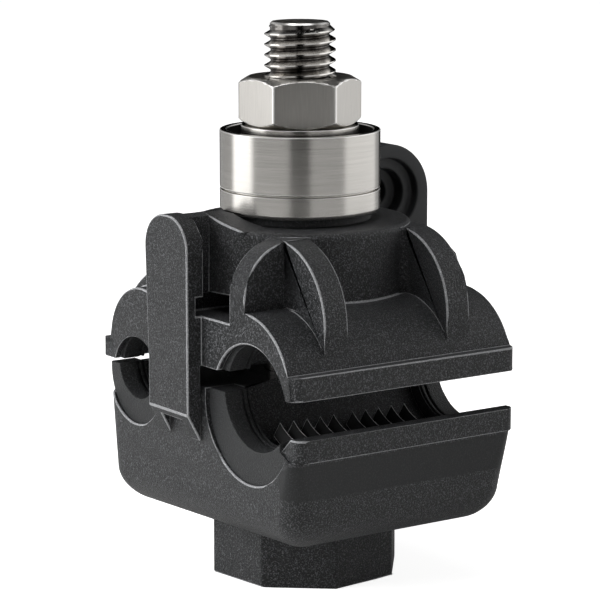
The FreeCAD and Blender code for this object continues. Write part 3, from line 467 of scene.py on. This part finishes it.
def turned_point():
    """The bolt's plain end above the thread, chamfered, with a faced top."""
    bpy.ops.mesh.primitive_cylinder_add(vertices=96, radius=ROOT + 0.1 * MM, depth=1.6 * POINT,
                                        location=(0, 0, TIP - 0.8 * POINT))
    point = bpy.context.object
    bpy.ops.object.transform_apply(location=True)
    bpy.ops.object.mode_set(mode="EDIT")
    bpy.ops.mesh.select_all(action="DESELECT")
    bpy.ops.object.mode_set(mode="OBJECT")
    for edge in point.data.edges:
        edge.select = all(point.data.vertices[i].co.z > TIP - 0.01 * MM for i in edge.vertices)
    bpy.ops.object.mode_set(mode="EDIT")
    bpy.ops.mesh.bevel(offset=0.3 * MM, segments=1, affect="EDGES")
    bpy.ops.object.mode_set(mode="OBJECT")
    coat(point, FINISH["bolt_steel"], NUT_STEEL, BURNISHED_EDGE_HIGHLIGHT)
    for face in point.data.polygons:
        if face.normal.z > 0.9:
            face.material_index = 1
        # the chamfer gets the nearly white edge coat, a painted highlight
        elif face.normal.z > 0.3:
            face.material_index = 2
    return point


def threaded_bolt():
    """The CAD bolt's head and shank, with a rolled M12 thread in place of its upper end."""
    shank = copy_of("bolt", "bolt_with_thread")
    pick(shank)
    bpy.ops.object.mode_set(mode="EDIT")
    bpy.ops.mesh.select_all(action="SELECT")
    bpy.ops.mesh.bisect(plane_co=(0, 0, THREAD_LOW + PITCH), plane_no=(0, 0, 1), use_fill=True,
                        clear_outer=True)
    bpy.ops.object.mode_set(mode="OBJECT")

    bpy.ops.mesh.primitive_circle_add(vertices=3, radius=MM,
                                      location=(ROOT, 0, THREAD_LOW - 2 * PITCH))
    thread = bpy.context.object
    bpy.ops.object.transform_apply(location=True)
    bpy.ops.object.mode_set(mode="EDIT")
    bpy.ops.mesh.select_all(action="SELECT")
    bpy.ops.mesh.merge(type="CENTER")
    flank = (CREST - ROOT) * math.tan(math.radians(30))
    root_flat = (PITCH * 0.875 - 2 * flank) / 2
    for out, up in ((0, root_flat), (CREST - ROOT, flank), (0, PITCH / 8),
                    (ROOT - CREST, flank), (0, root_flat)):
        bpy.ops.mesh.extrude_region_move(TRANSFORM_OT_translate={"value": (out, 0, up)})
    bpy.ops.object.mode_set(mode="OBJECT")
    turns = math.ceil((TIP - THREAD_LOW) / PITCH) + 4
    apply_new(thread, "SCREW", axis="Z", angle=2 * math.pi, screw_offset=PITCH, steps=THREAD_STEPS,
              render_steps=THREAD_STEPS, iterations=turns, use_merge_vertices=True,
              merge_threshold=0.000001)
    pick(thread)
    bpy.ops.object.mode_set(mode="EDIT")
    for level, inner in ((THREAD_LOW, True), (TIP - POINT / 2, False)):
        bpy.ops.mesh.select_all(action="SELECT")
        bpy.ops.mesh.bisect(plane_co=(0, 0, level), plane_no=(0, 0, 1), use_fill=True,
                            clear_inner=inner, clear_outer=not inner)
    for step in (0.2, 0.4, 0.6, 0.8, 1.0):
        bpy.ops.mesh.select_all(action="SELECT")
        bpy.ops.mesh.bisect(plane_co=(0, 0, TIP - POINT / 2 - step * MM), plane_no=(0, 0, 1))
    bpy.ops.mesh.select_all(action="SELECT")
    bpy.ops.mesh.remove_doubles(threshold=0.000001)
    bpy.ops.mesh.normals_make_consistent(inside=False)
    bpy.ops.object.mode_set(mode="OBJECT")

    # the thread runs out in a cone under the turned point
    for vertex in thread.data.vertices:
        radius = math.hypot(vertex.co.x, vertex.co.y)
        widest = ROOT + 1.1 * (TIP - POINT / 2 - vertex.co.z)
        if radius > widest:
            vertex.co.x *= widest / radius
            vertex.co.y *= widest / radius
    coat(thread, FINISH["bolt_steel"], NUT_STEEL, BURNISHED_EDGE_HIGHLIGHT)
    coat(shank, FINISH["bolt_steel"], NUT_STEEL, BURNISHED_EDGE_HIGHLIGHT)
    point = turned_point()

    pick(thread)
    point.select_set(True)
    shank.select_set(True)
    bpy.context.view_layer.objects.active = shank
    bpy.ops.object.join()
    smooth(shank, 24.0)
    stands_for(shank, "bolt")


threaded_bolt()


# edges rounded on every other piece

RING_END_X = 24.6 * MM
RING_TOP = 29.5 * MM


def trim_rings(seal):
    """Level the sealing rings' thin ends where they reach the lip."""
    for vertex in seal.data.vertices:
        if vertex.co.x > RING_END_X and vertex.co.z > RING_TOP:
            vertex.co.z = RING_TOP


def paint_cup_inside_shade(cup):
    """The cup's inside is painted black as shade, unlike its turned outside."""
    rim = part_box("pressure_cup")[1].z
    for face in cup.data.polygons:
        outwards = face.normal.x * face.center.x + face.normal.y * face.center.y
        if face.center.z < rim - 0.3 * MM and (outwards < -0.001 * face.center.length / 10
                                               or face.normal.z > 0.9):
            face.material_index = 2


EDGES = {"upper_body": 0.28, "lower_body": 0.28, "end_cap": 0.35, "nut": 0.22, "nut_washer": 0.15,
         "pressure_cup": 0.2, "pressure_disc": 0.12, "boss_collar": 0.2}

for node in sorted(SLOT_OF):
    if node == "bolt":
        continue
    if "seal" in node or "grommet" in node:
        edge = 0.12
    else:
        edge = EDGES.get(node, 0.1)
    piece = copy_of(node, node + "_finished")
    if node.startswith("main_seal_lower"):
        trim_rings(piece)
    if SLOT_OF[node] == "nylon":
        coat(piece, NYLON, RUBBED_NYLON_HIGHLIGHT)
        soften(piece, edge * MM, painted_highlight_slot=1)
    elif SLOT_OF[node] == "stainless_steel" and "spring" not in node:
        # the second material is the painted highlight on the rounded edges
        coat(piece, NUT_STEEL if node == "nut" else FINISH["stainless_steel"], BURNISHED_EDGE_HIGHLIGHT,
             SPRING_STEEL_AND_PAINTED_SHADE)
        soften(piece, edge * MM, painted_highlight_slot=1)
        # the cup's inside takes the third material, painted shade
        if node == "pressure_cup":
            paint_cup_inside_shade(piece)
    elif "spring" in node:
        coat(piece, SPRING_STEEL_AND_PAINTED_SHADE)
        soften(piece, edge * MM)
    elif "contact" in node:
        coat(piece, FINISH["tinned_contact"], TOOTH_CREST_HIGHLIGHT)
        soften(piece, edge * MM, painted_highlight_slot=1)
        # only the rounded crests facing the cable keep the painted highlight
        for face in piece.data.polygons:
            if face.normal.z * (1 if "lower" in node else -1) < 0.2:
                face.material_index = 0
    else:
        coat(piece, FINISH[SLOT_OF[node]])
        soften(piece, edge * MM)
    stands_for(piece, node)


# studio

def floor():
    """A matt white floor that the camera sees as white, with the object's faint shadow."""
    bpy.ops.mesh.primitive_plane_add(size=8.0)
    ground = bpy.context.object
    ground.name = "studio_floor"
    material = bpy.data.materials.new("matt_white_sweep")
    material.use_nodes = True
    tree = material.node_tree
    shader = tree.nodes["Principled BSDF"]
    shader.inputs["Base Color"].default_value = linear("#f4f4f3")
    shader.inputs["Roughness"].default_value = 1.0
    shader.inputs["Specular IOR Level"].default_value = 0.0
    seen = add(tree, "ShaderNodeLightPath")
    lift = add(tree, "ShaderNodeMath", {0: seen.outputs["Is Camera Ray"], 1: 0.86},
               operation="MULTIPLY")
    shader.inputs["Emission Color"].default_value = (1, 1, 1, 1)
    tree.links.new(lift.outputs["Value"], shader.inputs["Emission Strength"])
    ground.data.materials.append(material)


# What shiny surfaces see round the connector: a near grey screen with two pale strips, left and
# right, and two black flags, behind the camera and behind the connector. Each has its turn and half
# its width in degrees, and its light, where 1 is white.
ROOM_LIGHT = 0.4
SCREEN_AREAS = ((-125, 15, 2.0), (-35, 10, 0.0), (65, 30, 1.0), (140, 20, 0.0))
SOFT_EDGE = 8  # degrees
BRIGHTEST = 2.0


def screen():
    """A round paper screen near the connector that only reflections show."""
    bpy.ops.mesh.primitive_cylinder_add(vertices=96, radius=0.32, depth=0.5,
                                        end_fill_type="NGON", location=(0, 0, 0.2505))
    paper = bpy.context.object
    bpy.ops.object.transform_apply(location=True)
    paper.name = "studio_screen"
    bpy.ops.object.mode_set(mode="EDIT")
    bpy.ops.mesh.select_all(action="DESELECT")
    bpy.ops.object.mode_set(mode="OBJECT")
    for face in paper.data.polygons:
        face.select = face.normal.z < -0.5
    bpy.ops.object.mode_set(mode="EDIT")
    bpy.ops.mesh.delete(type="FACE")
    bpy.ops.object.mode_set(mode="OBJECT")
    material = bpy.data.materials.new("lit_paper_screen")
    material.use_nodes = True
    tree = material.node_tree
    tree.nodes.clear()
    place = tree.nodes.new("ShaderNodeTexCoord").outputs["Object"]
    axes = add(tree, "ShaderNodeSeparateXYZ", {"Vector": place})
    turn = add(tree, "ShaderNodeMath", {0: axes.outputs["Y"], 1: axes.outputs["X"]},
               operation="ARCTAN2")
    share = add(tree, "ShaderNodeMapRange", {"Value": turn.outputs["Value"], "From Min": -math.pi,
                                             "From Max": math.pi})
    light = add(tree, "ShaderNodeValToRGB", {"Fac": share.outputs["Result"]})
    levels = [(-180, ROOM_LIGHT)]
    for middle, half, white in SCREEN_AREAS:
        levels += [(middle - half - SOFT_EDGE, ROOM_LIGHT), (middle - half, white),
                   (middle + half, white), (middle + half + SOFT_EDGE, ROOM_LIGHT)]
    levels.append((180, ROOM_LIGHT))
    stops = light.color_ramp.elements
    while len(stops) < len(levels):
        stops.new(0.5)
    for stop, (angle, white) in zip(stops, levels):
        stop.position = (angle + 180) / 360
        stop.color = (white / BRIGHTEST, white / BRIGHTEST, white / BRIGHTEST, 1.0)
    level = add(tree, "ShaderNodeVectorMath", {0: place, 1: (1.0, 1.0, 0.0)},
                operation="MULTIPLY")
    radius = add(tree, "ShaderNodeVectorMath", {0: level.outputs["Vector"]}, operation="LENGTH")
    height = add(tree, "ShaderNodeMapRange", {"Value": axes.outputs["Z"], "From Min": 0.33,
                                              "From Max": 0.46, "To Min": BRIGHTEST,
                                              "To Max": 0.15})
    lamp = add(tree, "ShaderNodeMapRange", {"Value": radius.outputs["Value"], "From Min": 0.15,
                                            "From Max": 0.18, "To Min": 5.0, "To Max": 0.0})
    strength = add(tree, "ShaderNodeMath", {0: height.outputs["Result"],
                                            1: lamp.outputs["Result"]}, operation="ADD")
    glow = add(tree, "ShaderNodeEmission", {"Color": light.outputs["Color"],
                                            "Strength": strength.outputs["Value"]})
    add(tree, "ShaderNodeOutputMaterial", {"Surface": glow.outputs["Emission"]})
    paper.data.materials.append(material)
    paper.visible_camera = False
    paper.visible_diffuse = False
    paper.visible_shadow = False


def softbox(name, turn, rise, distance, width, height, power):
    """A soft rectangular lamp round the connector, aimed at its middle."""
    turn, rise = math.radians(turn), math.radians(rise)
    away = Vector((math.cos(turn) * math.cos(rise), math.sin(turn) * math.cos(rise),
                   math.sin(rise)))
    lamp = bpy.data.lights.new(name, "AREA")
    lamp.shape = "RECTANGLE"
    lamp.size = width
    lamp.size_y = height
    lamp.energy = power
    holder = bpy.data.objects.new(name, lamp)
    holder.location = CENTRE + away * distance
    holder.rotation_euler = (-away).to_track_quat("-Z", "Y").to_euler()
    holder.visible_glossy = False
    bpy.context.scene.collection.objects.link(holder)


def studio():
    """The floor, the screen, three soft lamps and a white world behind it all."""
    floor()
    screen()
    softbox("strip_left", -118.0, 14.0, 0.9, 0.72, 1.0, 12.0)
    softbox("strip_right", 65.0, 16.0, 0.9, 1.0, 1.0, 1.9)
    softbox("top_box", -50.0, 76.0, 0.9, 0.45, 0.45, 2.3)
    world = bpy.data.worlds.new("white_studio")
    bpy.context.scene.world = world
    world.use_nodes = True
    tree = world.node_tree
    tree.nodes.clear()
    seen = add(tree, "ShaderNodeLightPath")
    shine = add(tree, "ShaderNodeMath", {0: seen.outputs["Is Glossy Ray"],
                                         1: seen.outputs["Is Transmission Ray"]},
                operation="MAXIMUM")
    backdrop = add(tree, "ShaderNodeMath", {0: seen.outputs["Is Camera Ray"],
                                            1: shine.outputs["Value"]}, operation="MAXIMUM")
    room = add(tree, "ShaderNodeBackground", {"Color": linear("#ffffff"), "Strength": 0.1})
    white = add(tree, "ShaderNodeBackground", {"Color": linear("#ffffff"), "Strength": 1.0})
    mix = add(tree, "ShaderNodeMixShader", {0: backdrop.outputs["Value"],
                                            1: room.outputs["Background"],
                                            2: white.outputs["Background"]})
    add(tree, "ShaderNodeOutputWorld", {"Surface": mix.outputs["Shader"]})


def camera():
    """The camera where the photograph was taken from."""
    away = Vector((math.cos(CAMERA_TURN) * math.cos(CAMERA_RISE),
                   math.sin(CAMERA_TURN) * math.cos(CAMERA_RISE), math.sin(CAMERA_RISE)))
    data = bpy.data.cameras.new("camera")
    data.lens = 168.0
    data.sensor_width = 36.0
    data.clip_start = 0.01
    data.clip_end = 20.0
    holder = bpy.data.objects.new("camera", data)
    holder.location = CENTRE + away * 0.4746
    holder.rotation_euler = (-away).to_track_quat("-Z", "Y").to_euler()
    bpy.context.scene.collection.objects.link(holder)
    bpy.context.scene.camera = holder


studio()
camera()
bpy.context.scene.view_settings.view_transform = "Standard"
